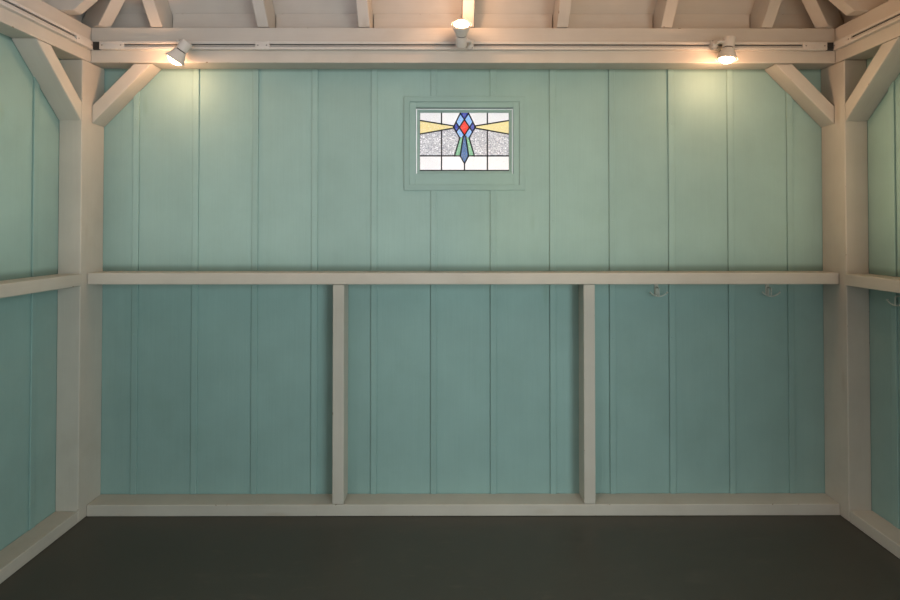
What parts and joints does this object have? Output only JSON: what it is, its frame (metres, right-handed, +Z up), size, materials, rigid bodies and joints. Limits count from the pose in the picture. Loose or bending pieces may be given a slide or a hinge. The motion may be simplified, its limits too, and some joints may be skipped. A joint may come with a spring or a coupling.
{
  "type": "beach hut",
  "caption": "Timber beach hut with a post frame, painted board walls, a small leaded window, an open front, a hipped roof and swivelling track spotlights.",
  "frame": {"origin": "on the ground under the middle of the hut", "axes": "+Z up, -Y out through the open front, +Y towards the wall with the window, +X to the right when looking in from the front"},
  "size_m": [3.69, 2.46, 3.9629],
  "materials": {
    "white_timber": "off-white satin paint on planed softwood, worn at the edges",
    "turquoise_boards": "turquoise satin paint on softwood boards",
    "grey_floor_paint": "smooth dark grey floor paint",
    "raw_timber": "bare treated softwood",
    "shingle": "weathered cedar shingles",
    "leaded_glass": "textured clear and coloured glass in lead cames",
    "white_metal": "off-white powder coat",
    "hook_paint": "painted over",
    "lit_bulb": "frosted, lit"
  },
  "bodies": {
    "hut": {"floor_rims": "raw_timber", "floor_joists": "raw_timber", "floor_deck": "grey_floor_paint", "sill_plates": "white_timber", "corner_posts": "white_timber", "plate_back": "white_timber", "plate_front": "white_timber", "plate_left": "white_timber", "plate_right": "white_timber", "knee_braces": "white_timber", "shelf_rails": "white_timber", "rail_studs": "white_timber", "wall_back": "turquoise_boards", "wall_left": "turquoise_boards", "wall_right": "turquoise_boards", "front_head_board": "turquoise_boards", "corner_boards": "white_timber", "window_sash": "turquoise_boards", "window_glass": "leaded_glass", "window_strip_inside": "turquoise_boards", "window_strip_outside": "white_timber", "rafters_back": "white_timber", "rafters_front": "white_timber", "rafters_left": "white_timber", "rafters_right": "white_timber", "hip_rafters": "white_timber", "apex_block": "white_timber", "eaves_boards": "white_timber", "roof_boards": "white_timber", "roof_shingles": "shingle", "hip_caps": "shingle", "apex_cap": "shingle", "eaves_fascia": "white_timber", "light_tracks": "white_metal", "track_adapters": "white_metal", "coat_hooks": "hook_paint"},
    "spot_arm_left": {"spot_arm_left": "white_metal"},
    "spot_head_left": {"spot_head_left": "white_metal", "spot_bulb_left": "lit_bulb"},
    "spot_arm_middle": {"spot_arm_middle": "white_metal"},
    "spot_head_middle": {"spot_head_middle": "white_metal", "spot_bulb_middle": "lit_bulb"},
    "spot_arm_right": {"spot_arm_right": "white_metal"},
    "spot_head_right": {"spot_head_right": "white_metal", "spot_bulb_right": "lit_bulb"}
  },
  "joints": [
    {"name": "spot_left_pan", "type": "hinge", "parent": "hut", "child": "spot_arm_left", "pos_m": [-1.23, 1.04, 2.185], "axis": [0, 1, 0], "range_deg": [-170, 170]},
    {"name": "spot_left_tilt", "type": "hinge", "parent": "spot_arm_left", "child": "spot_head_left", "pos_m": [-1.23, 0.984, 2.185], "axis": [-0.8192, 0, 0.5736], "range_deg": [-5, 90]},
    {"name": "spot_middle_pan", "type": "hinge", "parent": "hut", "child": "spot_arm_middle", "pos_m": [0.027, 1.04, 2.185], "axis": [0, 1, 0], "range_deg": [-170, 170]},
    {"name": "spot_middle_tilt", "type": "hinge", "parent": "spot_arm_middle", "child": "spot_head_middle", "pos_m": [0.027, 0.984, 2.185], "axis": [1, 0, 0], "range_deg": [-50, 45]},
    {"name": "spot_right_pan", "type": "hinge", "parent": "hut", "child": "spot_arm_right", "pos_m": [1.096, 1.04, 2.185], "axis": [0, 1, 0], "range_deg": [-170, 170]},
    {"name": "spot_right_tilt", "type": "hinge", "parent": "spot_arm_right", "child": "spot_head_right", "pos_m": [1.096, 0.984, 2.185], "axis": [-0.9903, 0, 0.1392], "range_deg": [-5, 90]}
  ]
}
